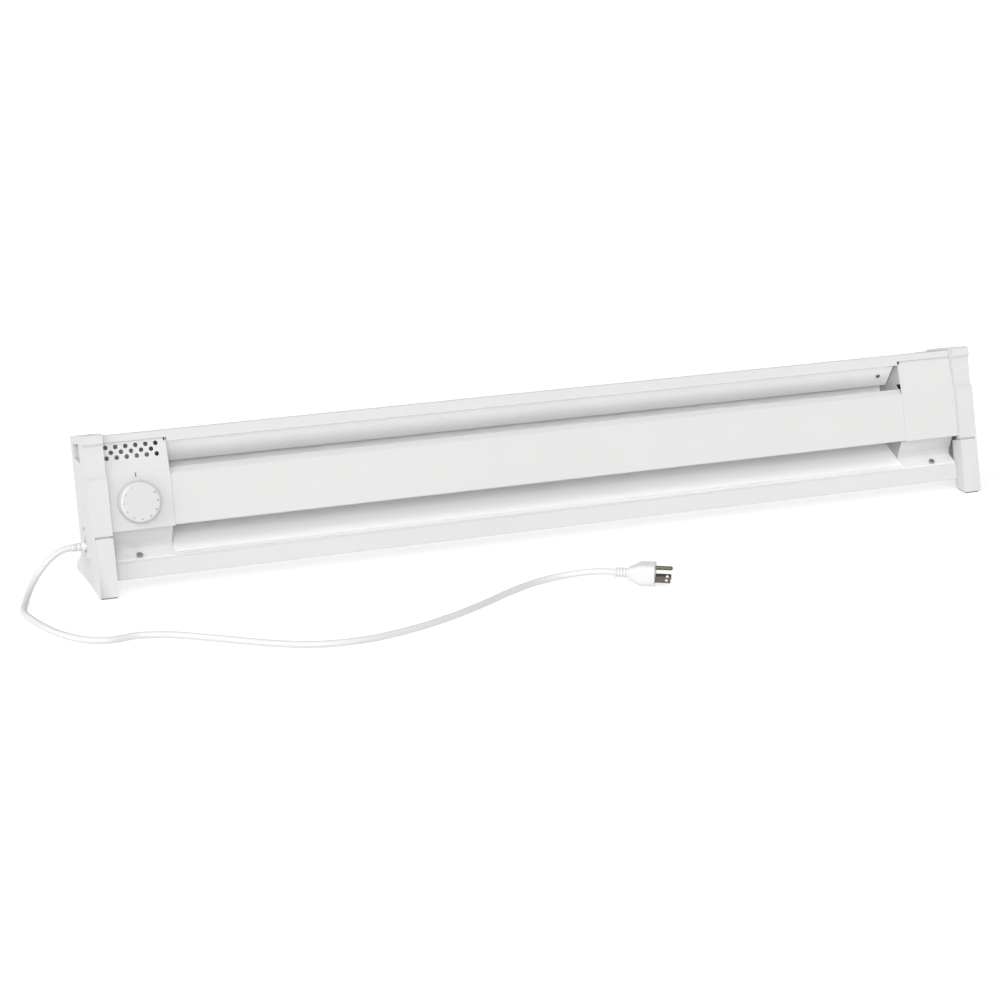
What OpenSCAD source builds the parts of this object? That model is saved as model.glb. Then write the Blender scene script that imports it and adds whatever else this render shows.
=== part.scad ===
// Portable electric baseboard heater on two moulded end feet.
//
// The part's own frame: X runs along the heater, -Y is its front, +Z is up,
// and z = 0 is the floor. The casing leans back on its feet, so most pieces
// are drawn upright in the casing's frame (x, depth, height), where depth is
// measured backwards from the front of the end caps and height is measured
// along the lean from the front toe, and lean_frame() then tips them back.

/* [Overall] */
// Length of the heater over its end caps
overall_l = 1100; // [800:10:1400]
// Depth of the feet on the floor
foot_depth = 116; // [110:1:130]
// Angle at which the casing leans back
lean_angle = 15; // [12:1:16]

/* [Casing] */
// Width of an end cap
cap_w = 22.5; // [20:0.5:28]
// Distance from the heater's end to the end of the controls box
box_w = 94; // [90:1:110]
// Depth of the casing
body_depth = 62; // [61:0.5:64]
// Height of the casing's top along the lean
body_top = 176.5; // [175:0.5:180]
// Thickness of the sheet steel
sheet = 0.9; // [0.7:0.1:1]
// Wall of the moulded end caps and feet
wall = 2.5; // [2:0.1:2.8]

/* [Controls] */
// Diameter of the thermostat knob
knob_d = 46; // [36:1:48]
// Thickness of the thermostat knob
knob_h = 12; // [10:0.5:14]
// Distance of the knob's centre from the heater's end
knob_from_end = 55.5; // [52:0.5:60]
// Number of dots around the dial
dial_dots = 10; // [6:1:12]

/* [Vent] */
// Diameter of a vent hole
vent_d = 5; // [3:0.5:6]
// Distance between vent holes in a row
vent_pitch = 11.15; // [9:0.05:11.5]

/* [Heating element] */
// Diameter of the sheathed element
tube_d = 8; // [6:0.5:9]
// Distance between cooling fins
fin_pitch = 10; // [8:1:20]

/* [Cord] */
// Diameter of the mains cord
cord_d = 7; // [6:0.1:7]

/* [Hidden] */
$fn = 48;
eps = 0.05;

half_l = overall_l / 2;
cap_inner = half_l - cap_w;        // plane of an end cap's inner face
sheet_end = half_l - 15;           // ends of the long rear sheet, inside the caps
box_x = half_l - box_w;            // plane of the controls box's inner end
white = [0.92, 0.92, 0.91];
steel = [0.72, 0.72, 0.73];

// Levels of the casing's pieces along the lean, and their depths
lip_bottom = 17.8;                 // lower edge of the pan's front lip
lip_top = 36;                      // bend between lip and sloping pan
lip_depth = 15.3;
pan_back = 71.6;                   // where the sloping pan meets the back panel
split = 66;                        // joint between end cap and foot
groove = 2.2;                      // open groove at that joint
cover_bottom = 71.2;
face = 6;                          // depth of the covers' front face
crease = 130;                      // bend where the covers start to lean back
rail_bottom = 164.3;               // lower edge of the top rail's front
rail_depth = 12;
rail_kick = 4.2;                     // height of the rail's kicked-out edge
cap_top = body_top + wall + 0.1;
cap_back = body_depth + wall + 0.1;
rear = body_depth - sheet;         // inner face of the back panel
tube_depth = 36;
tube_level = 101.5;
knob_level = 101.5;
pan_slope = (pan_back - lip_top) / (rear - sheet - lip_depth);
pan_angle = atan(pan_slope);
knob_x = -half_l + knob_from_end;

// ---- Frames and repeated shapes ----

// Tips what is drawn upright back onto the feet
module lean_frame() { translate([0, -foot_depth / 2, 0]) rotate([-lean_angle, 0, 0]) children(); }

// World (y, z) of a depth and a height in the casing
function world(depth, level) = [
  -foot_depth / 2 + depth * cos(lean_angle) + level * sin(lean_angle),
  level * cos(lean_angle) - depth * sin(lean_angle)];

// Extrudes a (depth, height) outline along X between two stations
module along_x(x0, x1) { translate([x0, 0, 0]) rotate([90, 0, 90]) linear_extrude(x1 - x0) children(); }

// A solid of revolution whose +Z points into the casing from its front
module facing_in(x, depth, level) { translate([x, depth, level]) rotate([-90, 0, 0]) children(); }

function unit(v) = v / norm(v);
function left_of(v) = [-v.y, v.x];
function dir_at(p, i) = unit(p[i + 1] - p[i]);

// Corner offset of a path to its left by t, mitred at each bend
function miter(p, i, t) =
  let(a = dir_at(p, max(i - 1, 0)), b = dir_at(p, min(i, len(p) - 2)), n = left_of(a) + left_of(b))
  t * n / (1 + a * b);

// Replaces each bend of a path by a short round of reach r
function rounded(p, r) = concat([p[0]],
  [for (i = [1:len(p) - 2])
    let(s = min(r, 0.45 * norm(p[i] - p[i - 1]), 0.45 * norm(p[i + 1] - p[i])),
      a = p[i] - s * dir_at(p, i - 1), b = p[i] + s * dir_at(p, i))
    for (u = [0:0.25:1]) (1 - u) * (1 - u) * a + 2 * u * (1 - u) * p[i] + u * u * b],
  [p[len(p) - 1]]);

// Outline of sheet of thickness t bent along a path, on the path's left side
module bent(path, t = sheet, r = 1.6) {
  p = rounded(path, r);
  n = len(p);
  polygon(concat(p, [for (i = [n - 1:-1:0]) p[i] + miter(p, i, t)]));
}

// Pan-head screw whose shank points along +Z, with a cross recess in its head
module screw(shank = 8, d = 3.5, head = 7, head_h = 2) {
  difference() {
    translate([0, 0, -head_h]) cylinder(d = head, h = head_h);
    for (a = [0, 90]) rotate(a) translate([-1.9, -0.45, -head_h - 0.1]) cube([3.8, 0.9, 1.1]);
  }
  cylinder(d = d, h = shank);
}

// Round tube swept along a list of points; the path never runs straight up
function tube_ring(p, i, r, sides) =
  let(t = unit(p[min(i + 1, len(p) - 1)] - p[max(i - 1, 0)]),
    s = unit(cross(t, [0, 0, 1])), u = cross(s, t))
  [for (k = [0:sides - 1]) p[i] + r * (cos(360 * k / sides) * s + sin(360 * k / sides) * u)];

module sweep(p, d, sides = 8) {
  n = len(p);
  points = [for (i = [0:n - 1]) each tube_ring(p, i, d / 2, sides)];
  skin = [for (i = [0:n - 2], k = [0:sides - 1])
    [i * sides + k, i * sides + (k + 1) % sides, (i + 1) * sides + (k + 1) % sides, (i + 1) * sides + k]];
  ends = [[for (k = [sides - 1:-1:0]) k], [for (k = [0:sides - 1]) (n - 1) * sides + k]];
  polyhedron(points, concat(skin, ends));
}

// Smooth points along a hand-set route, n to each of its stretches
function spline(p, n) = concat(
  [for (i = [0:len(p) - 2], j = [0:n - 1])
    let(u = j / n, a = p[max(i - 1, 0)], b = p[i], c = p[i + 1], d = p[min(i + 2, len(p) - 1)])
    0.5 * (2 * b + (c - a) * u + (2 * a - 5 * b + 4 * c - d) * pow(u, 2)
      + (3 * b - a - 3 * c + d) * pow(u, 3))],
  [p[len(p) - 1]]);

// ---- Sheet steel of the casing ----

// Rear sheet with a stiffening flange below and the top rail, whose front edge kicks out between
// the covers
module back_panel() {
  color(white) lean_frame() difference() {
    along_x(-sheet_end, sheet_end)
      bent([[50, 24], [body_depth, 24], [body_depth, body_top], [rail_depth, body_top],
        [rail_depth, rail_bottom + rail_kick], [rail_depth - 1.3, rail_bottom]]);
    for (x = [-bracket_span, 0, bracket_span], z = [bracket_low, bracket_high])
      facing_in(x, rear - 1, z) cylinder(d = 4, h = 4);
    for (s = [0, 1]) mirror([s, 0, 0])
      translate([box_x - 0.8, rail_depth - 3, rail_bottom - 1]) cube([half_l, 4.2, rail_kick + 1.1]);
    rear_screw_places() translate([0, 0, -8]) cylinder(d = 3.7, h = 12);
  }
}

deflector_top = 168;
deflector_low = 141;
deflector_slope = atan((deflector_top - deflector_low) / 29);
deflector_screw_x = half_l - 112;

// The deflector's right end is screwed to a tab; its left end only rests on one
module deflector_screw_place() {
  translate([deflector_screw_x, 31, deflector_top - 15 * tan(deflector_slope)])
    rotate([-deflector_slope, 0, 0]) children();
}

module air_deflector() {
  color(white) lean_frame() difference() {
    along_x(-box_x + 1.1, box_x - 1.1)
      bent([[36, body_top - 2 * sheet - eps], [16, body_top - 2 * sheet - eps], [16, deflector_top],
        [45, deflector_low], [47, deflector_low + 2.2]]);
    deflector_screw_place() translate([0, 0, -3]) cylinder(d = 3.2, h = 6);
  }
}

module lower_pan() {
  color(white) lean_frame() difference() {
    along_x(-cap_inner + 0.2, cap_inner - 0.2)
      bent([[rear - sheet, pan_back + 12], [rear - sheet, pan_back], [lip_depth, lip_top],
        [lip_depth, lip_bottom], [lip_depth + 6, lip_bottom]]);
    shield_screw_places() translate([0, 0, -3]) cylinder(d = 3.7, h = 6);
  }
}

panel_face = face + sheet + 0.1;

module front_panel() {
  color(white) lean_frame()
    along_x(-box_x - 10, box_x + 10)
      bent([[panel_face + 7, 135.4], [panel_face, 128.4], [panel_face, cover_bottom + sheet + 0.1],
        [panel_face + 10.5, cover_bottom + sheet + 0.1]]);
}

cover_path = [[13.9, 170.6], [12.3, 165.5], [face + 2, crease + 4], [face, crease], [face, cover_bottom],
  [17.6, cover_bottom]];

// Covers the controls box from its inner end to under the end cap, tucked in behind the rail
module cover_sheet() {
  difference() {
    along_x(box_x, cap_inner + 4.5) bent(cover_path, sheet, 1.2);
    translate([box_x - 1, 8, rail_bottom + 0.9]) cube([3.8, 8, 8]);
  }
}

module vent_holes() {
  for (row = [0:2], i = [0:row == 1 ? 4 : 5])
    facing_in(-half_l + 26.5 + vent_pitch * (i + (row == 1 ? 0.5 : 0)), 0, 163.3 - 5.8 * row)
      cylinder(d = vent_d, h = 18);
}

module left_cover() {
  color(white) lean_frame() difference() {
    mirror([1, 0, 0]) cover_sheet();
    facing_in(knob_x, 0, knob_level) cylinder(d = 10, h = 18);
    vent_holes();
  }
}

module right_cover() { color(white) lean_frame() cover_sheet(); }

// Sheet that closes the controls box under its cover and rests on the pan
shield_path = [[34, 73.1], [18.6, 73.1], [18.6, 70.5], [29.6, 55.6], [31.2, 49.9], [18.2, 39.58]];

module shield_screw_places() {
  for (s = [-1, 1]) translate([s * (half_l - 54), 20.8, 41.64]) rotate([180 + pan_angle, 0, 0])
    children();
}

module shield() {
  difference() {
    union() {
      along_x(box_x, cap_inner - 0.3) bent(shield_path, sheet, 1.2);
      translate([half_l - 54, 30, 52.6]) rotate([-75, 0, 0]) difference() {
        cylinder(d = 4.6, h = 0.7);
        translate([0, 0, -1]) cylinder(d = 3, h = 3);
      }
    }
    shield_screw_places() translate([0, 0, -3]) cylinder(d = 3.7, h = 6);
  }
}

module left_box_shield() { color(white) lean_frame() mirror([1, 0, 0]) shield(); }
module right_box_shield() { color(white) lean_frame() shield(); }

// Inner end of a controls box, with a tab behind the deflector
box_outline = [[8.2, 73.4], [8.2, 127.9], [19.6, 139.3], [19.6, 141.2], [10.3, 141.2], [13.5, 165.4],
  [14.5, 169], [14.5, body_top - 2 * sheet], [rear - 0.1, body_top - 2 * sheet], [rear - 0.1, 84],
  [58.9, 84], [58.9, 71.3], [32.5, 50.3], [30.8, 56.3], [20.2, 70.6], [20.2, 72], [34.2, 72],
  [34.2, 73.4]];

module box_wall() {
  difference() {
    union() {
      along_x(box_x, box_x + 1) polygon(box_outline);
      along_x(box_x - 26, box_x) bent([[24, 162.2], [39, 148.25]], 1, 0.5);
      along_x(box_x, box_x + 10) translate([rear - 1.1, 90]) square([1, 70]);
    }
    translate([box_x - 1, tube_depth, tube_level]) rotate([0, 90, 0]) cylinder(d = 14, h = 4);
    translate([box_x - 1, capillary_depth, capillary_level]) rotate([0, 90, 0]) cylinder(d = 3, h = 4);
    translate([box_x - 1, 54, return_level]) rotate([0, 90, 0]) cylinder(d = 6, h = 4);
    deflector_screw_place() translate([0, 0, -3]) cylinder(d = 3.2, h = 9);
  }
}

module left_box_wall() { color(steel) lean_frame() mirror([1, 0, 0]) box_wall(); }
module right_box_wall() { color(steel) lean_frame() box_wall(); }

// ---- Moulded end caps and feet ----

cap_front = [[0, split + groove], [0, 129.5], [4, 133.5], [4, 166], [1.5, 168.8], [1.5, 176],
  [2.7, cap_top - 1.2], [5.5, cap_top]];
cap_rear = [[cap_back - 1.5, cap_top], [cap_back, cap_top - 1.5]];
side_bottom = 44;

// Outline of the cap's side, with the tongue that runs down over the leg to the toe
module cap_side() {
  polygon(concat(cap_front, cap_rear,
    [[cap_back, side_bottom], [23, side_bottom], [19.1, 32.9], [7.2, 18.3], [0.8, pad_h], [0, pad_h]]));
}

module cap_shell_outline() {
  polygon(concat(cap_front, cap_rear, [[cap_back, split + groove]]));
}

// Space inside a cap, open below, where the casing's sheets and the foot's post go
module cap_hollow() {
  polygon([[wall, 0], [wall, 128.6], [4 + wall, 132.6], [4 + wall, 167], [1.5 + wall, 169.8],
    [1.5 + wall, 174.8], [6.2, cap_top - wall], [body_depth + 0.1, cap_top - wall],
    [body_depth + 0.1, 0]]);
}

// What the casing's sheets fill where they pass under the cap's inner edge
module cap_mouth() {
  polygon([[face - 0.1, 0], [face - 0.1, crease], [face + 1.9, crease + 4],
    [rail_depth + 0.1, rail_bottom + 1.2], [rail_depth + 0.1, rail_bottom + rail_kick],
    [rail_depth - 0.3, rail_bottom + rail_kick], [rail_depth - 0.3, body_top + 0.2],
    [body_depth + 0.1, body_top + 0.2], [body_depth + 0.1, 0]]);
}

pocket_depth = 11;

module pocket_outline(grow = 0) {
  polygon([[26 - grow, 149 - grow], [54 + grow, 156 - grow], [54 + grow, 170 + grow],
    [26 - grow, 170 + grow]]);
}

// Right end cap; the left one is its mirror image with a cord recess
module end_cap() {
  difference() {
    union() {
      difference() {
        along_x(cap_inner, half_l) cap_shell_outline();
        along_x(cap_inner + 2, half_l - wall) cap_hollow();
        along_x(cap_inner - 1, cap_inner + 2.1) cap_mouth();
      }
      along_x(half_l - wall, half_l) cap_side();
      along_x(half_l - 38, half_l - 1) translate([body_depth + 0.1, split + 4]) square([wall, 107]);
      along_x(half_l - pocket_depth - 1.5, half_l - 1) pocket_outline(1.5);
    }
    along_x(half_l - pocket_depth, half_l + 1) pocket_outline();
    cap_screw_places() translate([0, 0, -4]) cylinder(d = 3.7, h = 12);
    cap_screw_places() translate([0, 0, -1]) cylinder(d = 7.6, h = 2.7);
    rear_screw_places() translate([0, 0, -8]) cylinder(d = 3.7, h = 12);
  }
}

recess_depth = 41;
recess_level = 71.5;
cord_level = 58;

// The cord's opening, and above it the ring-shaped groove of a blanked-off hole
module cord_recess() {
  translate([-half_l - 1, recess_depth, cord_level]) rotate([0, 90, 0])
    cylinder(d = 14, h = wall + 1 + eps);
  translate([-half_l, recess_depth, recess_level]) rotate([0, 90, 0]) difference() {
    translate([0, 0, -1]) cylinder(d = 16, h = 2.5);
    translate([0, 0, -2]) cylinder(d = 10, h = 4);
  }
}

module left_end_cap() {
  color(white) lean_frame() difference() {
    mirror([1, 0, 0]) end_cap();
    cord_recess();
  }
}

module right_end_cap() { color(white) lean_frame() end_cap(); }

pad_h = 1.6;
web_outer = half_l - wall - 0.1;
web = 3;
leg_depth = 20;
foot_tip = foot_depth / 2 - pad_h * tan(lean_angle);

// Side of a foot on the floor, in world (y, z)
module foot_side() {
  polygon([[-foot_tip, pad_h], [foot_tip, pad_h], [foot_tip - 1, 8.3], [39, 19.4], world(body_depth, 68),
    world(body_depth, 86), world(38, 104), world(18, 104), world(18, split + 14),
    world(wall + 0.2, split + 14),
    world(wall + 0.2, split), world(0, split)]);
}

// Rear flange along the foot's sloping back, with the block that carries the rear pad
module foot_flange() {
  polygon([[34, pad_h], [foot_tip, pad_h], [foot_tip - 1, 8.3], [39, 19.4], world(body_depth, 68),
    world(body_depth + 0.2, 50), [35, 17], [34, 12]]);
}

module leg_outline() {
  polygon([[-foot_tip, pad_h], world(0, split), world(leg_depth, split),
    [leg_depth / cos(lean_angle) - foot_tip, pad_h]]);
}

module leg_hollow() {
  polygon([world(wall, 8), world(wall, split - wall), world(leg_depth + 1, split - wall),
    world(leg_depth + 1, 8)]);
}

// Upright inside the cap's front, from the leg's top to a level
module post(x, top) {
  along_x(x, web_outer) polygon([world(wall + 0.2, split - 1), world(wall + 0.2, top),
    world(14, top), world(14, split - 1)]);
}

module foot() {
  difference() {
    union() {
      along_x(web_outer - web, web_outer) foot_side();
      along_x(cap_inner, web_outer) leg_outline();
      along_x(cap_inner, web_outer) foot_flange();
      post(cap_inner + 2.3, cover_bottom - 0.3);
      post(cap_inner + 4.8, split + 12);
    }
    along_x(cap_inner + wall, web_outer - web) leg_hollow();
    lean_frame() cap_screw_places() cylinder(d = 3.4, h = 8);
  }
}

module left_foot() {
  color(white) difference() {
    mirror([1, 0, 0]) foot();
    lean_frame() translate([-half_l, recess_depth, cord_level]) rotate([0, 90, 0])
      cylinder(d = 10, h = 10);
  }
}

module right_foot() { color(white) foot(); }

module foot_pads() {
  color([0.25, 0.25, 0.25])
    for (s = [-1, 1], y = [-foot_tip + 0.8, foot_tip - 19.3])
      translate([s * (half_l - cap_w / 2 - 1) - 9, y, 0]) cube([18, 18.5, pad_h]);
}

// ---- Heating element ----

fin_span = box_x - 36;
bracket_span = 300;
bracket_low = 88;
bracket_high = 126;
capillary_d = 2.4;
capillary_depth = 58.5;
capillary_level = 112;

module heating_tube() {
  color(steel) lean_frame() translate([-box_x - 14, tube_depth, tube_level]) rotate([0, 90, 0])
    cylinder(d = tube_d, h = 2 * box_x + 28);
}

module element_terminals() {
  color([0.8, 0.78, 0.7]) lean_frame() for (s = [0, 1]) mirror([s, 0, 0])
    translate([box_x + 14, tube_depth, tube_level]) rotate([0, 90, 0]) {
      cylinder(d = 3, h = 14);
      translate([0, 0, 3]) cylinder(d = 6.5, h = 2.4, $fn = 6);
    }
}

// True where a fin would stand in the way of a support bracket
function at_bracket(x) = min([for (b = [-bracket_span, 0, bracket_span]) abs(x - b)]) < fin_pitch / 2 - 0.1;

module heat_fins() {
  count = floor(2 * fin_span / fin_pitch);
  color([0.78, 0.78, 0.79]) lean_frame()
    for (i = [0:count]) let(x = -fin_span + i * fin_pitch) if (!at_bracket(x + 0.2))
      difference() {
        translate([x, 13, 78]) cube([0.4, 44, 47]);
        translate([x - 1, tube_depth, tube_level]) rotate([0, 90, 0]) cylinder(d = tube_d, h = 3);
      }
}

// Bracket that carries the element and stiffens the front panel
module support_brackets() {
  color(steel) lean_frame() for (x = [-bracket_span, 0, bracket_span]) difference() {
    union() {
      along_x(x - 0.6, x + 0.6) polygon([[8.3, 90], [8.3, 120], [20, 130], [44, 133],
        [rear - 0.1, 133], [rear - 0.1, 85], [50, 78], [14, 78]]);
      along_x(x - 0.6, x + 9) translate([rear - 1.3, 85]) square([1.2, 48]);
      along_x(x - 0.6, x + 9) translate([8.1, 92]) square([1.2, 26]);
      for (z = [bracket_low, bracket_high]) facing_in(x, rear - 0.2, z) cylinder(d = 3.8, h = 0.2 + sheet);
    }
    translate([x - 2, tube_depth, tube_level]) rotate([0, 90, 0]) cylinder(d = tube_d + 0.2, h = 4);
    translate([x - 2, capillary_depth, capillary_level]) rotate([0, 90, 0]) cylinder(d = 3, h = 4);
  }
}

module element_bushes() {
  color([0.93, 0.9, 0.84]) lean_frame() for (s = [0, 1]) mirror([s, 0, 0])
    translate([box_x, tube_depth, tube_level]) rotate([0, 90, 0]) difference() {
      union() {
        translate([0, 0, -3]) cylinder(d = 18, h = 3);
        cylinder(d = 13.8, h = 6);
      }
      translate([0, 0, -4]) cylinder(d = tube_d + 0.1, h = 12);
    }
}

// ---- Thermostat, knob and limit switch ----

shaft_d = 6;
bush_d = 9.4;

module thermostat_body() {
  color([0.85, 0.83, 0.78]) lean_frame() difference() {
    union() {
      translate([knob_x - 19, 9, knob_level - 18]) cube([38, 24, 36]);
      facing_in(knob_x, face + sheet + 0.2, knob_level) cylinder(d = 20, h = 2.2);
      facing_in(knob_x, 3, knob_level) cylinder(d = bush_d, h = 8);
      for (x = [-11, 11]) translate([knob_x + x - 3, 33, knob_level + 6]) cube([6, 7, 0.8]);
    }
    facing_in(knob_x, 0, knob_level) cylinder(d = shaft_d + 0.2, h = 26);
  }
}

module thermostat_shaft() {
  color(steel) lean_frame() difference() {
    facing_in(knob_x, -4, knob_level) cylinder(d = shaft_d, h = 28);
    translate([knob_x - 5, -5, knob_level + 1.6]) cube([10, 7, 4]);
  }
}

module thermostat_nut() {
  color([0.75, 0.68, 0.45]) lean_frame() facing_in(knob_x, 3.4, knob_level) difference() {
    cylinder(d = 16, h = 2.5, $fn = 6);
    translate([0, 0, -1]) cylinder(d = bush_d + 0.1, h = 5);
  }
}

knob_back = face - 1.2;
knob_front = knob_back - knob_h;

// Knob: flat face, rounded rim and drafted skirt, hollow behind
module dial_knob() {
  r = knob_d / 2;
  color(white) lean_frame() facing_in(knob_x, knob_front, knob_level) difference() {
    rotate_extrude($fn = 96) polygon(concat(
      [[0, 0]],
      [for (a = [0:15:90]) [r - 3 + 2.2 * sin(a), 2.2 - 2.2 * cos(a)]],
      [[r, knob_h], [r - 2, knob_h], [r - 2.8, 3], [6.5, 3], [6.5, 9], [0, 9]]));
    difference() {
      translate([0, 0, 2.6]) cylinder(d = shaft_d + 0.05, h = 8);
      translate([-5, -5.7, 2.5]) cube([10, 4.05, 6.55]);
    }
  }
}

// Printed dots, each a little larger than the one before it
module dial_marks() {
  color([0.35, 0.35, 0.35]) lean_frame() for (i = [0:dial_dots - 1]) let(a = 120 + 30 * i)
    facing_in(knob_x + 18.6 * cos(a), knob_front - 0.12, knob_level + 18.6 * sin(a))
      cylinder(r = 0.75 + 0.055 * i, h = 0.12, $fn = 24);
}

// Index line printed over the bend above the knob
module dial_index_mark() {
  color([0.25, 0.25, 0.25]) lean_frame() along_x(knob_x - 0.7, knob_x + 0.7) intersection() {
    bent([cover_path[1], cover_path[2], cover_path[3], cover_path[4]], -0.12, 1.2);
    translate([0, crease - 1]) square([12, 4.4]);
  }
}

module limit_switch() {
  color([0.15, 0.15, 0.16]) lean_frame() {
    translate([-box_x - 22, 43.8, 102]) cube([20.9, 16, 34]);
    for (z = [107, 125]) translate([-box_x - 30, 49, z]) cube([8, 0.8, 5]);
  }
}

// Sensing tube of the limit switch, which runs between the fins and the back panel
module limit_capillary() {
  color([0.75, 0.5, 0.35]) lean_frame() translate([-box_x - 1, capillary_depth, capillary_level])
    rotate([0, 90, 0]) cylinder(d = capillary_d, h = 2 * box_x - 20);
}

module capillary_clips() {
  color(steel) lean_frame() for (x = [-378, -148, 152, 382]) difference() {
    union() {
      translate([x, capillary_depth, capillary_level]) rotate([0, 90, 0]) cylinder(d = 4.2, h = 6);
      translate([x, rear - 1.05, capillary_level - 6]) cube([6, 1, 12]);
      translate([x, capillary_depth, capillary_level - 2]) cube([6, rear - capillary_depth - 0.1, 4]);
    }
    translate([x - 1, capillary_depth, capillary_level]) rotate([0, 90, 0])
      cylinder(d = capillary_d + 0.1, h = 8);
  }
}

// ---- Terminal block and wiring ----

block_x = -half_l + 52;

module terminal_block() {
  color([0.9, 0.88, 0.8]) lean_frame() difference() {
    translate([block_x - 15, 44, 86]) cube([30, 17, 16]);
    for (i = [-1:1]) translate([block_x + 9 * i, 43, 94]) rotate([-90, 0, 0]) cylinder(d = 5, h = 6);
  }
}

wire_d = 2.4;
return_level = 74;

module live_wire() {
  color([0.12, 0.12, 0.12]) lean_frame() sweep(spline([[-half_l + 11, 39, cord_level],
    [-half_l + 17, 38, 65], [-half_l + 20, 37, 76], [block_x - 10, 36, 88], [block_x - 9, 40, 93.5],
    [block_x - 9, 48.8, 94]], 3), wire_d);
}

module neutral_wire() {
  color([0.85, 0.85, 0.85]) lean_frame() sweep(spline([[-half_l + 11, 42, cord_level + 1.5],
    [-half_l + 19, 40.5, 67], [-half_l + 25, 41, 76], [block_x - 2, 38, 86], [block_x, 40, 93],
    [block_x, 48.8, 94]], 3), wire_d);
}

module ground_wire() {
  color([0.1, 0.5, 0.2]) lean_frame() sweep(spline([[-half_l + 11, 42, cord_level - 2.5],
    [-half_l + 17, 46, 62], [-half_l + 20, 45, 70], [-half_l + 27, 44, 79.5], [block_x + 7, 40, 86],
    [block_x + 9, 41, 93], [block_x + 9, 48.8, 94]], 3), wire_d);
}

module element_lead() {
  color([0.7, 0.15, 0.12]) lean_frame() sweep(spline([[knob_x + 11, 38, knob_level + 8],
    [knob_x + 11, 44, 112], [knob_x + 10, 46, 122], [-box_x - 31, 47, 128]], 4), wire_d);
}

module return_wire() {
  color([0.8, 0.8, 0.8]) lean_frame() translate([-box_x - 8, 54, return_level]) rotate([0, 90, 0])
    cylinder(d = wire_d, h = 2 * box_x + 16);
}

// ---- Tip-over switch: a pendulum that hangs plumb in the right box ----

switch_x = half_l - 62;
switch_y = -16;
switch_z = 76;
switch_w = 20;
switch_d = 40;
switch_h = 42;
pivot_y = switch_y + switch_d / 2;
pivot_z = switch_z + switch_h - 7;

module tip_switch_body() {
  color([0.85, 0.83, 0.78]) difference() {
    union() {
      translate([switch_x, switch_y, switch_z]) cube([switch_w, switch_d, switch_h]);
      along_x(switch_x, switch_x + switch_w) polygon([[switch_y + switch_d - 0.1, switch_z],
        world(rear - 0.1, 95), world(rear - 0.1, 116), [switch_y + switch_d - 0.1, switch_z + 22]]);
    }
    translate([switch_x + 2, switch_y + 2, switch_z + 2])
      cube([switch_w, switch_d - 4, switch_h - 4]);
    translate([switch_x - 1, pivot_y, pivot_z]) rotate([0, 90, 0]) cylinder(d = 2.6, h = 6);
  }
}

module tip_switch_lid() {
  color([0.3, 0.3, 0.32]) difference() {
    translate([switch_x + switch_w, switch_y, switch_z]) cube([1.6, switch_d, switch_h]);
    translate([switch_x + switch_w - 1, pivot_y, pivot_z]) rotate([0, 90, 0]) cylinder(d = 2.6, h = 4);
  }
}

module tip_switch_pendulum() {
  color([0.7, 0.65, 0.5]) translate([switch_x, pivot_y, pivot_z]) rotate([0, 90, 0]) {
    translate([0, 0, 0.2]) cylinder(d = 2.4, h = switch_w + 1.2);
    translate([0, 0, switch_w / 2]) cylinder(d = 6, h = 4);
    translate([0, -1.25, switch_w / 2]) cube([22, 2.5, 4]);
    translate([22, 0, switch_w / 2 - 3]) cylinder(d = 11, h = 10);
  }
}

// ---- Fasteners ----

module shield_screws() {
  color(steel) lean_frame() shield_screw_places() translate([0, 0, -0.95]) screw(7);
}

module deflector_screw() {
  color(steel) lean_frame() deflector_screw_place() translate([0, 0, -0.05]) screw(6, 3, 5, 1.6);
}

// One screw through each cap's side into its foot
module cap_screw_places() {
  for (s = [-1, 1]) translate([s * half_l, 26, 98]) rotate([0, -90 * s, 0]) children();
}

module cap_screws() {
  color(white) lean_frame() cap_screw_places() translate([0, 0, 1.7]) screw(4, 3.3, 7, 1.6);
}

// Two screws behind each end, through the cap's rear flange into the back panel
module rear_screw_places() {
  for (s = [-1, 1], z = [92, 150]) translate([s * (half_l - 30), cap_back, z]) rotate([90, 0, 0])
    children();
}

module rear_screws() { color(steel) lean_frame() rear_screw_places() screw(7); }

// ---- Mains cord and plug ----

exit_y = world(recess_depth, cord_level)[0];
exit_z = world(recess_depth, cord_level)[1];
relief_tip = 16;                   // how far the strain relief stands out

// Tapered sleeve with a flange inside the foot's web
module strain_relief() {
  color(white) translate([-half_l, exit_y, exit_z]) rotate([0, 90, 0]) {
    translate([0, 0, -relief_tip]) cylinder(r1 = cord_d / 2 + 1.2, r2 = 4.9, h = relief_tip + wall);
    translate([0, 0, wall]) cylinder(d = 9.8, h = web + 1);
    translate([0, 0, wall + web + 0.2]) cylinder(d = 14, h = 2);
    translate([0, 0, wall - 1.2]) cylinder(d = 12, h = 1.2);
  }
}

plug_at = [-7, -206, 12];
plug_turn = -30;
relief_l = 15;
plug_l = 30;
floor_z = 3.6;

// Route of the cord from the strain relief to the plug
cord_route = [[-half_l - relief_tip, exit_y, exit_z], [-575, -3.5, 44.2],
  [-587, -4.4, 38.4], [-599, -6.5, 28], [-609.5, -12.5, 17.5],
  [-619, -26, 9], [-628, -48, 4.3], [-635, -76, floor_z], [-630, -108, floor_z],
  [-618, -146, floor_z], [-598, -178, floor_z], [-572, -192, floor_z], [-540, -189, floor_z],
  [-508, -199, floor_z], [-465, -228, floor_z], [-415, -264, floor_z], [-370, -284, floor_z],
  [-320, -287, floor_z], [-265, -274, floor_z], [-215, -253, floor_z], [-170, -228, floor_z],
  [-130, -203, floor_z], [-92, -184, 3.8], [-59, -180, 6], [-36, -189.5, 10], [-21, -198, 12],
  plug_at];

module power_cord() { color(white) sweep(spline(cord_route, 2), cord_d, 10); }

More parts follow.
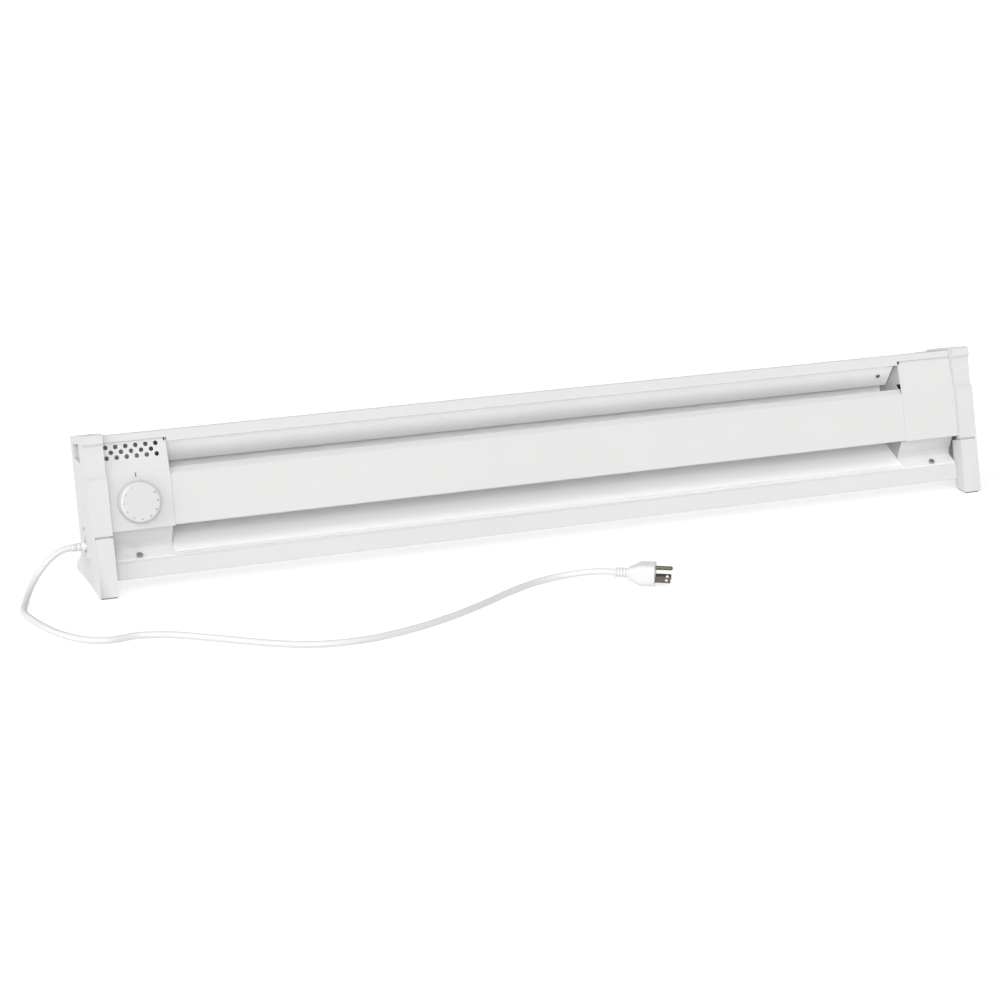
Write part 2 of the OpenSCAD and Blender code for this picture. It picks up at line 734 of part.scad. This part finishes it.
module on_plug() { translate(plug_at) rotate([0, 0, plug_turn]) children(); }

// Ribbed sleeve and a body that widens to its front face
module plug_body() {
  color(white) on_plug() {
    rotate([0, 90, 0]) {
      cylinder(d = 9, h = relief_l);
      for (i = [0:3]) translate([0, 0, 0.3 + 3.4 * i]) cylinder(d = 11, h = 2);
    }
    difference() {
      hull() {
        translate([relief_l, -7, -7]) cube([0.5, 14, 14]);
        translate([relief_l + 12, -12.5, -11.5]) cube([0.5, 25, 23]);
        translate([relief_l + plug_l - 0.5, -13.5, -12]) cube([0.5, 27, 24]);
      }
      translate([relief_l + plug_l - 4, -7.15, -7.95]) cube([5, 1.6, 6.5]);
      translate([relief_l + plug_l - 4, 5.55, -7.95]) cube([5, 1.6, 6.5]);
      translate([relief_l + plug_l - 4, 0, 7.2]) rotate([0, 90, 0]) cylinder(d = 4.8, h = 5);
    }
  }
}

blade_l = 17;

// Two flat blades with a round hole near the tip
module plug_blades() {
  color([0.6, 0.6, 0.55]) on_plug() for (y = [-7.1, 5.6])
    difference() {
      translate([relief_l + plug_l - 3.9, y, -7.9]) cube([blade_l + 3.9, 1.5, 6.35]);
      translate([relief_l + plug_l + blade_l - 4.5, y - 1, -4.7]) rotate([-90, 0, 0])
        cylinder(d = 3.1, h = 4);
    }
}

module plug_ground_pin() {
  color([0.6, 0.6, 0.55]) on_plug() translate([relief_l + plug_l - 3.9, 0, 7.2]) rotate([0, 90, 0]) {
    cylinder(d = 4.7, h = blade_l + 4);
    translate([0, 0, blade_l + 4]) cylinder(d1 = 4.7, d2 = 2.8, h = 1.8);
  }
}

back_panel();
air_deflector();
lower_pan();
front_panel();
left_cover();
right_cover();
left_box_wall();
right_box_wall();
left_box_shield();
right_box_shield();
left_end_cap();
right_end_cap();
left_foot();
right_foot();
foot_pads();
heating_tube();
element_terminals();
heat_fins();
support_brackets();
element_bushes();
thermostat_body();
thermostat_shaft();
thermostat_nut();
dial_knob();
dial_marks();
dial_index_mark();
limit_switch();
limit_capillary();
capillary_clips();
terminal_block();
live_wire();
neutral_wire();
ground_wire();
element_lead();
return_wire();
tip_switch_body();
tip_switch_lid();
tip_switch_pendulum();
shield_screws();
deflector_screw();
cap_screws();
rear_screws();
strain_relief();
power_cord();
plug_body();
plug_blades();
plug_ground_pin();
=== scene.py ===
"""Looks of the portable baseboard heater: enamelled sheet steel on two moulded
end feet, with its white mains cord and plug. Lengths are in metres."""
from math import cos, pi, radians, sin

import bmesh
import bpy
from mathutils import Euler, Matrix, Vector


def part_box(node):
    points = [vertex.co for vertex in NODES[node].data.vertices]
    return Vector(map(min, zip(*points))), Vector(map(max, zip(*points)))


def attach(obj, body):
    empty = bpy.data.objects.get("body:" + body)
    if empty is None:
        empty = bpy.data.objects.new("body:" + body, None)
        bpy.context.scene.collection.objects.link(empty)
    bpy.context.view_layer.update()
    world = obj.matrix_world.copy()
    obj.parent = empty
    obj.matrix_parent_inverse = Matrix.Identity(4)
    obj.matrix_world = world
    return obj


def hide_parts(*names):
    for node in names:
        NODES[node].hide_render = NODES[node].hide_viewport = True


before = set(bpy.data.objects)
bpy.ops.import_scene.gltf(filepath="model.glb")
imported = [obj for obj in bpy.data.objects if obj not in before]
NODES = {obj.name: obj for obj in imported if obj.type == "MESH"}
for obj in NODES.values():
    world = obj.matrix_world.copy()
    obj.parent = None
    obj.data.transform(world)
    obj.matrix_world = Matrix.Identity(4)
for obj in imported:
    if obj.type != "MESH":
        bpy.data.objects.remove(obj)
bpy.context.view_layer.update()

MM = 0.001


# ---------------------------------------------------------------- materials

class Graph:
    """A procedural material on one Principled shader."""

    def __init__(self, name):
        self.material = bpy.data.materials.new(name)
        self.material.use_nodes = True
        tree = self.material.node_tree
        self.nodes = tree.nodes
        self.links = tree.links
        self.shader = self.nodes["Principled BSDF"]
        self.place = self.add("ShaderNodeTexCoord").outputs["Object"]

    def add(self, kind, **inputs):
        """A new node. An input's name is written with _ for each space."""
        node = self.nodes.new(kind)
        for key, value in inputs.items():
            node.inputs[key.replace("_", " ")].default_value = value
        return node

    def link(self, source, target):
        self.links.new(source, target)

    def stretched(self, scale):
        """The object's own coordinates, scaled along each axis."""
        mapping = self.add("ShaderNodeMapping", Scale=scale)
        self.link(self.place, mapping.inputs["Vector"])
        return mapping.outputs["Vector"]

    def noise(self, size, detail=2.0, rough=0.5, along=None):
        """Noise whose blotches are about size across."""
        node = self.add("ShaderNodeTexNoise", Scale=1 / size, Detail=detail, Roughness=rough)
        self.link(along or self.place, node.inputs["Vector"])
        return node.outputs["Fac"]

    def ramp(self, source, stops):
        """A colour or grey ramp on a 0 to 1 value."""
        node = self.add("ShaderNodeValToRGB")
        band = node.color_ramp
        while len(band.elements) < len(stops):
            band.elements.new(0.5)
        for element, (at, value) in zip(band.elements, stops):
            element.position = at
            tone = value if isinstance(value, tuple) else (value,) * 3
            element.color = (*tone, 1.0)
        self.link(source, node.inputs["Fac"])
        return node.outputs["Color"]

    def bump(self, height, depth, strength, under=None):
        """A normal roughened by height, on top of the normal under it if there is one."""
        node = self.add("ShaderNodeBump", Strength=strength, Distance=depth)
        self.link(height, node.inputs["Height"])
        if under is not None:
            self.link(under, node.inputs["Normal"])
        return node.outputs["Normal"]

    def wire(self, colour, rough, normal):
        """Links the three to the shader."""
        self.link(colour, self.shader.inputs["Base Color"])
        self.link(rough, self.shader.inputs["Roughness"])
        self.link(normal, self.shader.inputs["Normal"])

    def set(self, **values):
        """Fixed values of the shader, named as in add."""
        for key, value in values.items():
            self.shader.inputs[key.replace("_", " ")].default_value = value


def shade(colour, factor):
    return tuple(c * factor for c in colour)


# The casing leans back. Turned by LEAN and moved by CASING_START, the axes give the depth (Y) and
# the height (Z) in the casing, both from 0 at its lower front edge.
LEAN = radians(15)
CASING_START = (0, 0.05602, 0.01501)
CASING_DEPTH = 0.062
CASING_HEIGHT = 0.1765
# The enamel's painted interior light (a brighter tone inside the casing) ends between these two
# distances under the rear and top skins
SKIN_INNER = 0.0007
SKIN_OUTER = 0.0003


def powder_coat(name, outside, inside, axis="Y", start=0.0155, end=0.021):
    """Baked enamel on steel: satin, with a fine orange peel and a faint unevenness.

    Its tone goes from the outside one to the inside one between start and end, along the
    casing's depth (Y) or height (Z). The rear and top skins have the outside tone."""
    # Painted light and painted shade: the two tones are lit and shaded copies of one enamel, such
    # as the brighter tone inside the casing that stands for light reaching in
    g = Graph(name)
    peel = g.noise(0.0022, 2, 0.45)
    specks = g.noise(0.0006, 1)
    casing = g.add("ShaderNodeMapping", Location=CASING_START, Rotation=(LEAN, 0, 0))
    g.link(g.place, casing.inputs["Vector"])
    axes = g.add("ShaderNodeSeparateXYZ")
    g.link(casing.outputs["Vector"], axes.inputs["Vector"])
    change = g.add("ShaderNodeMapRange", From_Min=start, From_Max=end)
    g.link(axes.outputs[axis], change.inputs["Value"])
    inner = change.outputs["Result"]
    for side, skin in (("Y", CASING_DEPTH), ("Z", CASING_HEIGHT)):
        outer = g.add("ShaderNodeMapRange", From_Min=skin - SKIN_INNER, From_Max=skin - SKIN_OUTER)
        g.link(axes.outputs[side], outer.inputs["Value"])
        less = g.nodes.new("ShaderNodeMath")
        less.operation = "SUBTRACT"
        less.use_clamp = True
        g.link(inner, less.inputs[0])
        g.link(outer.outputs["Result"], less.inputs[1])
        inner = less.outputs["Value"]
    tone = g.ramp(inner, [(0.0, outside), (1.0, inside)])
    cloud = g.ramp(g.noise(0.11, 2), [(0.35, 0.985), (0.65, 1.0)])
    mix = g.nodes.new("ShaderNodeMix")
    mix.data_type = "RGBA"
    mix.blend_type = "MULTIPLY"
    mix.inputs["Factor"].default_value = 1.0
    g.link(tone, mix.inputs["A"])
    g.link(cloud, mix.inputs["B"])
    g.wire(
        mix.outputs["Result"],
        g.ramp(g.noise(0.03, 3), [(0.3, 0.36), (0.7, 0.44)]),
        g.bump(specks, 0.00002, 0.5, g.bump(peel, 0.00012, 0.55)),
    )
    g.set(Coat_Weight=0.15, Coat_Roughness=0.25)
    return g.material


def grained_plastic(name, colour, rough=(0.46, 0.56), grain=0.0009, depth=0.00007):
    """Injection moulding with a spark-eroded grain."""
    g = Graph(name)
    pits = g.add("ShaderNodeTexVoronoi", Scale=1 / grain)
    g.link(g.place, pits.inputs["Vector"])
    g.wire(
        g.ramp(g.noise(0.06, 2), [(0.35, shade(colour, 0.98)), (0.65, colour)]),
        g.ramp(g.noise(0.012, 3), [(0.3, rough[0]), (0.7, rough[1])]),
        g.bump(pits.outputs["Distance"], depth, 0.5, g.bump(g.noise(grain * 2.2, 2), depth, 0.4)),
    )
    return g.material


def soft_plastic(name, colour, rough=(0.34, 0.42), mottle=0.97):
    """Smooth moulded plastic, PVC or rubber with faint flow marks."""
    g = Graph(name)
    flow = g.noise(0.02, 2, along=g.stretched((0.4, 1, 1)))
    g.wire(
        g.ramp(flow, [(0.35, shade(colour, mottle)), (0.65, colour)]),
        g.ramp(g.noise(0.008, 3), [(0.3, rough[0]), (0.7, rough[1])]),
        g.bump(g.noise(0.0014, 2), 0.00005, 0.4),
    )
    return g.material


def metal(name, colour, rough=(0.25, 0.4), brush=None, mottle=0.88, size=0.006):
    """Bare or plated metal, mottled, with brush marks along one axis if asked."""
    g = Graph(name)
    marks = g.noise(0.0007, 3, 0.6, along=g.stretched(brush)) if brush else g.noise(0.0008, 2)
    g.wire(
        g.ramp(g.noise(size, 3), [(0.3, shade(colour, mottle)), (0.7, colour)]),
        g.ramp(marks, [(0.3, rough[0]), (0.7, rough[1])]),
        g.bump(marks, 0.00002, 0.5),
    )
    g.set(Metallic=1.0)
    return g.material


def heat_tinted(name):
    """Element sheath: dull steel that has gone straw and blue in bands."""
    g = Graph(name)
    bands = g.noise(0.03, 2, along=g.stretched((1, 0.2, 0.2)))
    tint = [(0.3, (0.20, 0.20, 0.21)), (0.5, (0.30, 0.25, 0.19)), (0.68, (0.21, 0.22, 0.27))]
    g.wire(
        g.ramp(bands, tint),
        g.ramp(g.noise(0.002, 2), [(0.3, 0.42), (0.7, 0.6)]),
        g.bump(g.noise(0.0009, 2), 0.00003, 0.5),
    )
    g.set(Metallic=0.9)
    return g.material


def printed_ink(name, tone):
    """Pad-printed ink, a little thin in places."""
    g = Graph(name)
    thin = g.noise(0.0012, 3)
    g.wire(
        g.ramp(thin, [(0.3, tone), (0.75, tone * 1.45)]),
        g.ramp(thin, [(0.3, 0.5), (0.7, 0.62)]),
        g.bump(thin, 0.00001, 0.4),
    )
    return g.material


OUTSIDE_WHITE = (0.52, 0.52, 0.516)
# Painted light: the enamel inside the casing is much brighter than outside, to stand for the light
# that reaches the interior
INSIDE_PAINTED_LIGHT = (0.92, 0.92, 0.916)
# Painted light: the box shields' lower strip, shaded by the cover, is given a brighter tone as if
# lit from above
SHIELD_PAINTED_LIGHT = (0.72, 0.72, 0.716)
# Painted shade: the wiring boxes' end walls get a dark tone that stands for the shade falling on
# them
WALL_PAINTED_SHADE = (0.42, 0.42, 0.416)
CAP_WHITE = (0.51, 0.51, 0.506)

FINISHES = {
    "white_enamel": powder_coat("white_enamel", OUTSIDE_WHITE, INSIDE_PAINTED_LIGHT),
    "cap_plastic": grained_plastic("cap_plastic", CAP_WHITE),
    "knob_plastic": grained_plastic(
        "knob_plastic", (0.50, 0.50, 0.496), rough=(0.36, 0.44), grain=0.0006, depth=0.00003),
    "cap_screw_white": soft_plastic("cap_screw_white", CAP_WHITE),
    "pad_rubber": soft_plastic("pad_rubber", (0.09, 0.09, 0.092), (0.7, 0.85), 0.8),
    "element_sheath": heat_tinted("element_sheath"),
    "terminal_brass": metal("terminal_brass", (0.72, 0.60, 0.36)),
    "fin_aluminium": metal(
        "fin_aluminium", (0.80, 0.81, 0.82), (0.22, 0.4),
        brush=(1, 1, 0.06), mottle=0.93, size=0.02),
    "zinc_steel": metal("zinc_steel", (0.46, 0.47, 0.48), (0.24, 0.4), mottle=0.82, size=0.004),
    "bush_ceramic": soft_plastic("bush_ceramic", (0.80, 0.76, 0.68), (0.3, 0.5), 0.95),
    "phenolic": soft_plastic("phenolic", (0.66, 0.63, 0.55), (0.4, 0.55), 0.92),
    "dark_moulding": grained_plastic("dark_moulding", (0.035, 0.035, 0.038)),
    "print_ink": printed_ink("print_ink", 0.10),
    "wire_black": soft_plastic("wire_black", (0.03, 0.03, 0.032), mottle=0.8),
    "wire_white": soft_plastic("wire_white", (0.78, 0.78, 0.76)),
    "wire_green": soft_plastic("wire_green", (0.02, 0.22, 0.07), mottle=0.85),
    "wire_red": soft_plastic("wire_red", (0.42, 0.03, 0.025), mottle=0.85),
    "pendulum_brass": metal("pendulum_brass", (0.66, 0.56, 0.36), brush=(0.05, 1, 1)),
    "cord_white": soft_plastic("cord_white", (0.55, 0.55, 0.546), (0.36, 0.46)),
    "blade_metal": metal(
        "blade_metal", (0.17, 0.16, 0.12), (0.18, 0.3),
        brush=(1, 0.08, 1), mottle=0.8, size=0.003),
}

# Points closer than WELD_GAP are merged before the edges are rounded
WELD_GAP = 0.000005
# Edges that turn by more than SHARP_ANGLE are rounded, by node: (radius, segments)
SHARP_ANGLE = radians(34)
SHEET_EDGE = (0.00028, 2)
EDGES = {
    "left_end_cap": (0.0011, 3), "right_end_cap": (0.0011, 3),
    "left_foot": (0.0008, 3), "right_foot": (0.0008, 3),
    "foot_pads": (0.0005, 2), "tip_switch_body": (0.0006, 2), "limit_switch": (0.0008, 2),
    "thermostat_body": (0.0006, 2), "terminal_block": (0.0006, 2),
    "plug_blades": (0.0004, 2),
    "back_panel": SHEET_EDGE, "air_deflector": SHEET_EDGE, "lower_pan": SHEET_EDGE,
    "front_panel": SHEET_EDGE, "left_cover": SHEET_EDGE, "right_cover": SHEET_EDGE,
    "left_box_shield": SHEET_EDGE, "right_box_shield": SHEET_EDGE,
}


def dress_nodes():
    """Gives every CAD node its finish, and rounds the edges that show."""
    own = {"dial_marks": printed_ink("dial_ink", 0.24)}
    # Painted light: the shields are brighter below a height of 48.5 to 51.5 mm in the casing
    own["left_box_shield"] = own["right_box_shield"] = powder_coat(
        "shield_enamel_painted_light", SHIELD_PAINTED_LIGHT, OUTSIDE_WHITE, "Z", start=0.0485, end=0.0515)
    # Painted shade: the box walls' dark tone stands for the shade inside the wiring boxes
    own["left_box_wall"] = own["right_box_wall"] = powder_coat(
        "wall_enamel_painted_shade", WALL_PAINTED_SHADE, WALL_PAINTED_SHADE)
    for name, node in NODES.items():
        for i, material in enumerate(node.data.materials):
            node.data.materials[i] = own.get(name, FINISHES[material.name.split(".")[0]])
        if name not in EDGES:
            continue
        radius, segments = EDGES[name]
        weld = node.modifiers.new("weld", "WELD")
        weld.merge_threshold = WELD_GAP
        bevel = node.modifiers.new("bevel", "BEVEL")
        bevel.width = radius
        bevel.segments = segments
        bevel.limit_method = "ANGLE"
        bevel.angle_limit = SHARP_ANGLE
        bevel.harden_normals = True


# ------------------------------------------------------------------- pieces

RING_POINTS = 40
ROUTE_STEPS = 8


def add_mesh(name, bm, finish, node):
    """Turns bm into a smooth piece that stands for a CAD node."""
    bmesh.ops.recalc_face_normals(bm, faces=bm.faces)
    mesh = bpy.data.meshes.new(name)
    bm.to_mesh(mesh)
    bm.free()
    for face in mesh.polygons:
        face.use_smooth = True
    piece = bpy.data.objects.new(name, mesh)
    bpy.context.scene.collection.objects.link(piece)
    mesh.materials.append(FINISHES[finish])
    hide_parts(node)
    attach(piece, "root")


def add_rings(bm, rings):
    """Skins a list of rings, each with RING_POINTS points, and closes both ends."""
    loops = [[bm.verts.new(p) for p in ring] for ring in rings]
    for low, high in zip(loops, loops[1:]):
        for i in range(RING_POINTS):
            j = (i + 1) % RING_POINTS
            bm.faces.new((low[i], low[j], high[j], high[i]))
    bm.faces.new(list(reversed(loops[0])))
    bm.faces.new(loops[-1])


def circle(place, x, radius):
    """Points round the X axis of place, at station x."""
    turns = [2 * pi * i / RING_POINTS for i in range(RING_POINTS)]
    return [place @ Vector((x, radius * cos(a), radius * sin(a))) for a in turns]


def smooth_route(points):
    """Catmull-Rom points through a route, ROUTE_STEPS of them from each point to the next."""
    route = []
    last = len(points) - 1
    for i in range(last):
        a, b = points[max(i - 1, 0)], points[i]
        c, d = points[i + 1], points[min(i + 2, last)]
        for j in range(ROUTE_STEPS):
            u = j / ROUTE_STEPS
            route.append(0.5 * (2 * b + (c - a) * u + (2 * a - 5 * b + 4 * c - d) * u * u
                                + (3 * b - a - 3 * c + d) * u ** 3))
    return route + [points[-1]]


CORD_D = 0.007
EXIT = (-0.550, -0.00339, 0.04541)
PLUG_TURN = radians(-30)
# In millimetres: the height of the cord's axis where it lies on the floor, the point where it
# enters the plug, and its route from the strain relief down to the floor and on to the plug
FLOOR_Z = 3.6
PLUG_AT = (-7, -206, 12)
ROUTE = [
    (-566, -3.39, 45.41), (-575, -3.5, 44.2), (-587, -4.4, 38.4), (-599, -6.5, 28),
    (-609.5, -12.5, 17.5), (-619, -26, 9), (-628, -48, 4.3), (-635, -76, FLOOR_Z),
    (-630, -108, FLOOR_Z), (-618, -146, FLOOR_Z), (-598, -178, FLOOR_Z), (-572, -192, FLOOR_Z),
    (-540, -189, FLOOR_Z), (-508, -199, FLOOR_Z), (-465, -228, FLOOR_Z), (-415, -264, FLOOR_Z),
    (-370, -284, FLOOR_Z), (-320, -287, FLOOR_Z), (-265, -274, FLOOR_Z), (-215, -253, FLOOR_Z),
    (-170, -228, FLOOR_Z), (-130, -203, FLOOR_Z), (-92, -184, 3.8), (-59, -180, 6),
    (-36, -189.5, 10), (-21, -198, 12), PLUG_AT,
]


def make_cord():
    """A round curve along the route, which stands for the CAD cord."""
    line = smooth_route([Vector(p) * MM for p in ROUTE])
    curve = bpy.data.curves.new("mains_cord", "CURVE")
    curve.dimensions = "3D"
    curve.bevel_depth = CORD_D / 2
    curve.bevel_resolution = 6
    curve.use_fill_caps = True
    spline = curve.splines.new("POLY")
    spline.points.add(len(line) - 1)
    for point, place in zip(spline.points, line):
        point.co = (*place, 1)
    spline.use_smooth = True
    cord = bpy.data.objects.new("mains_cord", curve)
    bpy.context.scene.collection.objects.link(cord)
    curve.materials.append(FINISHES["cord_white"])
    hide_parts("power_cord")
    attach(cord, "root")
    length = sum((b - a).length for a, b in zip(line, line[1:]))
    return cord, length


def make_strain_relief():
    """Smooth tapered sleeve with two shallow grooves, on a collar that sits in the foot."""
    low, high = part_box("strain_relief")
    tip, back = low[0], high[0]
    side = EXIT[0]
    neck, collar, flange = 0.0049, 0.0060, 0.0070
    groove_start, groove_pitch, groove_depth = 0.0055, 0.0045, 0.00035
    # Stations along X with their radii, from the tip to the flange inside the foot
    stations = [(tip, 0.0037), (tip + 0.0003, 0.0040), (tip + 0.0010, 0.0041)]
    for i in range(2):
        x = tip + groove_start + groove_pitch * i
        radius = 0.0043 + 0.0002 * i
        stations += [
            (x, radius), (x + 0.0003, radius - groove_depth),
            (x + 0.0009, radius - groove_depth), (x + 0.0012, radius),
        ]
    stations += [
        (side, 0.0048), (side + 0.0012, neck),
        (side + 0.0013, collar), (side + 0.0025, collar),
        (side + 0.0026, neck), (back - 0.0021, neck),
        (back - 0.0020, 0.0068), (back - 0.0002, flange), (back, 0.0065),
    ]
    place = Matrix.Translation((0, EXIT[1], EXIT[2]))
    bm = bmesh.new()
    add_rings(bm, [circle(place, x, radius) for x, radius in stations])
    add_mesh("cord_sleeve", bm, "cord_white", "strain_relief")


def superellipse(place, x, half_w, half_h, power):
    """Points round a rounded rectangle at station x of place. Power 2 is an ellipse."""
    ring = []
    for i in range(RING_POINTS):
        a = 2 * pi * (i + 0.5) / RING_POINTS
        c, s = cos(a), sin(a)
        reach = (abs(c) ** power + abs(s) ** power) ** (-1 / power)
        ring.append(place @ Vector((x, half_w * c * reach, half_h * s * reach)))
    return ring


def make_plug():
    """Moulded plug: ribbed sleeve, angled rear shoulder and a body that widens to its face."""
    place = Matrix.Translation(Vector(PLUG_AT) * MM) @ Matrix.Rotation(PLUG_TURN, 4, "Z")
    sleeve_length, rib_count, rib_pitch = 0.015, 4, 0.0034
    sleeve, rib, gap = 0.0050, 0.0055, 0.0046
    # Stations along the plug with their radii
    stations = [(-0.0004, 0.0040)]
    for i in range(rib_count):
        x = 0.0002 + i * rib_pitch
        stations += [
            (x, sleeve), (x + 0.0004, rib), (x + 0.0018, rib), (x + 0.0021, gap), (x + 0.0031, gap),
        ]
    rings = [superellipse(place, x, radius, radius, 2) for x, radius in stations]
    # Stations along the body with their half width, half height and squareness
    profile = [
        (0.0, 0.0050, 0.0050, 2.2), (0.0006, 0.0062, 0.0062, 2.8), (0.0022, 0.0070, 0.0069, 3.4),
        (0.0075, 0.0098, 0.0090, 3.8), (0.0115, 0.0121, 0.0111, 4.2),
        (0.0135, 0.0127, 0.0116, 4.4), (0.020, 0.0130, 0.0118, 4.6),
        (0.0285, 0.0134, 0.0119, 4.6), (0.0293, 0.0134, 0.0119, 4.6),
        (0.0298, 0.0130, 0.0115, 4.4), (0.0300, 0.0124, 0.0110, 4.2),
    ]
    rings += [superellipse(place, sleeve_length + x, w, h, p) for x, w, h, p in profile]
    bm = bmesh.new()
    add_rings(bm, rings)
    add_mesh("plug_housing", bm, "cord_white", "plug_body")


# ------------------------------------------------------------------- studio

FLOOR_HALF = 30.0
SUNS = {
    # Direction in which it shines, spread in degrees, strength
    "front": ((0.256, 0.957, -0.4), 34, 1.95),
    "side": ((0.893, 0.157, -0.423), 60, 2.0),
    "top": ((0.05, 0.15, -1.0), 70, 0.7),
}
# The camera's turns below the horizon and to the right are in degrees, its lens in millimetres
CAMERA_AT = (-1.141, -2.731, 0.948)
CAMERA_DOWN = 17.145
CAMERA_RIGHT = 21.568
CAMERA_LENS = 95.4


def make_floor():
    """A pale floor that shines faintly, so that only a trace of the shadow is left."""
    bm = bmesh.new()
    bmesh.ops.create_grid(bm, x_segments=1, y_segments=1, size=FLOOR_HALF)
    mesh = bpy.data.meshes.new("floor")
    bm.to_mesh(mesh)
    bm.free()
    floor = bpy.data.objects.new("floor", mesh)
    bpy.context.scene.collection.objects.link(floor)
    g = Graph("floor")
    g.set(
        Base_Color=(0.3, 0.3, 0.3, 1), Roughness=0.9, Specular_IOR_Level=0.0,
        Emission_Color=(1, 1, 1, 1), Emission_Strength=0.72,
    )
    mesh.materials.append(g.material)


def soft_sun(name, direction, spread, strength):
    """A wide, even light that shines along a direction."""
    light = bpy.data.lights.new(name, "SUN")
    light.energy = strength
    light.angle = radians(spread)
    lamp = bpy.data.objects.new(name, light)
    bpy.context.scene.collection.objects.link(lamp)
    lamp.rotation_euler = Vector(direction).to_track_quat("-Z", "Y").to_euler()


def make_studio():
    """Even white surroundings and three wide suns."""
    scene = bpy.context.scene
    world = bpy.data.worlds.new("studio")
    scene.world = world
    world.use_nodes = True
    background = world.node_tree.nodes["Background"]
    background.inputs["Color"].default_value = (1, 1, 1, 1)
    background.inputs["Strength"].default_value = 0.5
    for name, (direction, spread, strength) in SUNS.items():
        soft_sun(name, direction, spread, strength)
    scene.view_settings.view_transform = "Standard"
    scene.view_settings.look = "None"


def make_camera():
    """A long lens to the left of the heater and above it."""
    camera = bpy.data.cameras.new("camera")
    camera.lens = CAMERA_LENS
    camera.sensor_width = 36.0
    camera.clip_start = 0.05
    camera.clip_end = 100.0
    eye = bpy.data.objects.new("camera", camera)
    bpy.context.scene.collection.objects.link(eye)
    eye.location = CAMERA_AT
    eye.rotation_euler = Euler((radians(90 - CAMERA_DOWN), 0, radians(-CAMERA_RIGHT)))
    bpy.context.scene.camera = eye


dress_nodes()
cord, cord_length = make_cord()
make_strain_relief()
make_plug()
make_floor()
make_studio()
make_camera()
